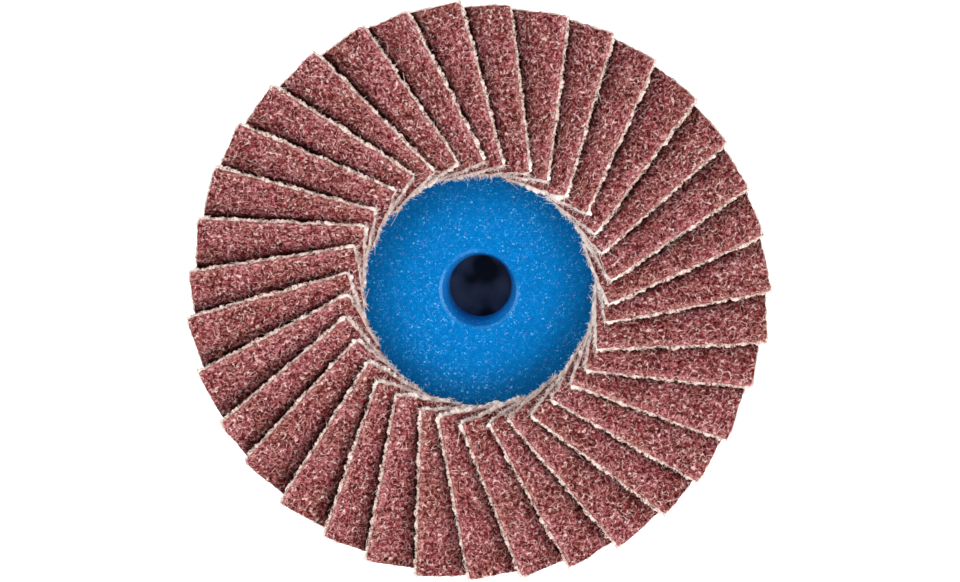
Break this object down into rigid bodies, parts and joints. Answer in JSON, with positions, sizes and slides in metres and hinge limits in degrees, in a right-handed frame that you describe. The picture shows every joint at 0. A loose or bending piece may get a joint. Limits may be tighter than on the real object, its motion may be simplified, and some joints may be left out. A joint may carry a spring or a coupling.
{
  "type": "flap disc",
  "caption": "Round quick-change flap disc: overlapping rectangles of abrasive cloth bonded in a fan round a ribbed plastic backing plate with a moulded-in threaded insert.",
  "frame": {"origin": "on the disc's axis, in the plane of the hub's back face, where the thread's mouth is", "axes": "+Z along the axis, out of the abrasive side; +X and +Y across the disc"},
  "size_m": [0.0503, 0.05, 0.0143],
  "materials": {
    "blue_nylon": "satin glass-filled nylon with fine pale fibre specks",
    "blackened_steel": "black oxide, satin",
    "resin": "cured epoxy resin, dull",
    "abrasive_cloth": "red-brown abrasive grain in resin on cotton cloth with frayed cream edges"
  },
  "bodies": {
    "root": {"backing_plate": "blue_nylon", "threaded_insert": "blackened_steel", "bond": "resin", "flap_01": "abrasive_cloth", "flap_02": "abrasive_cloth", "flap_03": "abrasive_cloth", "flap_04": "abrasive_cloth", "flap_05": "abrasive_cloth", "flap_06": "abrasive_cloth", "flap_07": "abrasive_cloth", "flap_08": "abrasive_cloth", "flap_09": "abrasive_cloth", "flap_10": "abrasive_cloth", "flap_11": "abrasive_cloth", "flap_12": "abrasive_cloth", "flap_13": "abrasive_cloth", "flap_14": "abrasive_cloth", "flap_15": "abrasive_cloth", "flap_16": "abrasive_cloth", "flap_17": "abrasive_cloth", "flap_18": "abrasive_cloth", "flap_19": "abrasive_cloth", "flap_20": "abrasive_cloth", "flap_21": "abrasive_cloth", "flap_22": "abrasive_cloth", "flap_23": "abrasive_cloth", "flap_24": "abrasive_cloth", "flap_25": "abrasive_cloth", "flap_26": "abrasive_cloth", "flap_27": "abrasive_cloth", "flap_28": "abrasive_cloth", "flap_29": "abrasive_cloth", "flap_30": "abrasive_cloth", "flap_31": "abrasive_cloth", "flap_32": "abrasive_cloth", "flap_33": "abrasive_cloth", "flap_34": "abrasive_cloth", "flap_35": "abrasive_cloth"}
  },
  "joints": []
}
